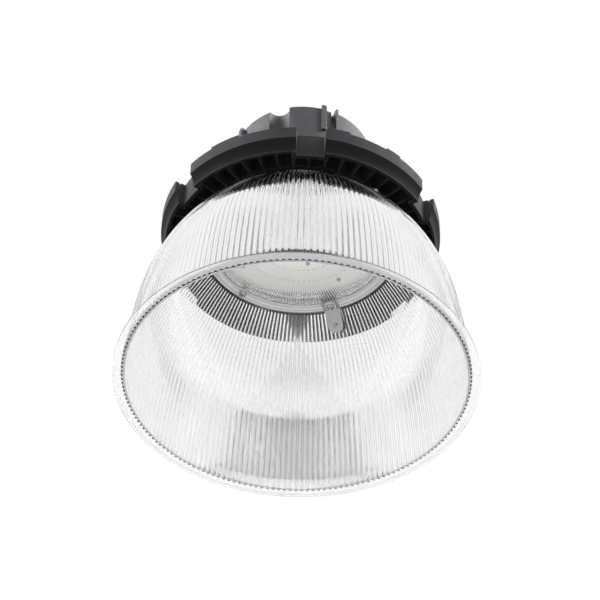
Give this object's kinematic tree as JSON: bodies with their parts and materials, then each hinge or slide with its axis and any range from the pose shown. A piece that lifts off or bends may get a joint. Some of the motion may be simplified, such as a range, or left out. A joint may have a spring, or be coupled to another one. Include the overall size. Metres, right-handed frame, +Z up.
{
  "type": "high bay light",
  "caption": "Round LED high bay light: driver housing on a notched, finned heat sink, LED board under a clear cover, and a clear prismatic bell reflector, hung from a fixed eye bolt.",
  "frame": {"origin": "centre of the reflector's mouth, on the plane of its rim's foot", "axes": "+Z up along the lamp's axis towards the eye bolt; -Y is the side with the notch that faces the viewer"},
  "size_m": [0.42, 0.42, 0.431],
  "materials": {
    "sink_paint": "satin black powder coat on die-cast aluminium",
    "housing_paint": "satin dark grey powder coat on die-cast aluminium",
    "clear_polycarbonate": "clear moulded polycarbonate, gloss",
    "stainless_sheet": "satin stainless sheet",
    "bright_steel": "bright plated steel",
    "zinc_steel": "zinc plated forged steel",
    "white_board": "white solder resist",
    "phosphor": "yellow phosphor under clear silicone",
    "black_rubber": "matt",
    "grey_silicone": "matt, soft",
    "black_nylon": "moulded",
    "driver_case": "moulded, potted",
    "lead_sleeve": "silicone sleeve",
    "terminal_body": "moulded"
  },
  "bodies": {
    "root": {"heat_sink": "sink_paint", "driver_housing": "housing_paint", "housing_gasket": "black_rubber", "housing_bolts": "zinc_steel", "driver_module": "driver_case", "output_leads": "lead_sleeve", "lead_grommet": "black_rubber", "board_terminal": "terminal_body", "thermal_pad": "grey_silicone", "led_board": "white_board", "led_packages": "phosphor", "board_screws": "bright_steel", "lens_cover": "clear_polycarbonate", "lens_gasket": "grey_silicone", "lens_washers": "bright_steel", "lens_screws": "bright_steel", "clip_washers": "bright_steel", "clip_screws": "bright_steel", "reflector_clip_1": "stainless_sheet", "reflector_clip_2": "stainless_sheet", "reflector_clip_3": "stainless_sheet", "wall_screws": "bright_steel", "wall_nuts": "bright_steel", "reflector": "clear_polycarbonate", "eye_bolt": "zinc_steel", "eye_washer": "zinc_steel", "eye_nut": "zinc_steel", "gland_body": "black_nylon", "gland_seal": "black_rubber", "gland_cap": "black_nylon", "gland_locknut": "black_nylon", "breather_vent": "black_nylon"}
  },
  "joints": []
}
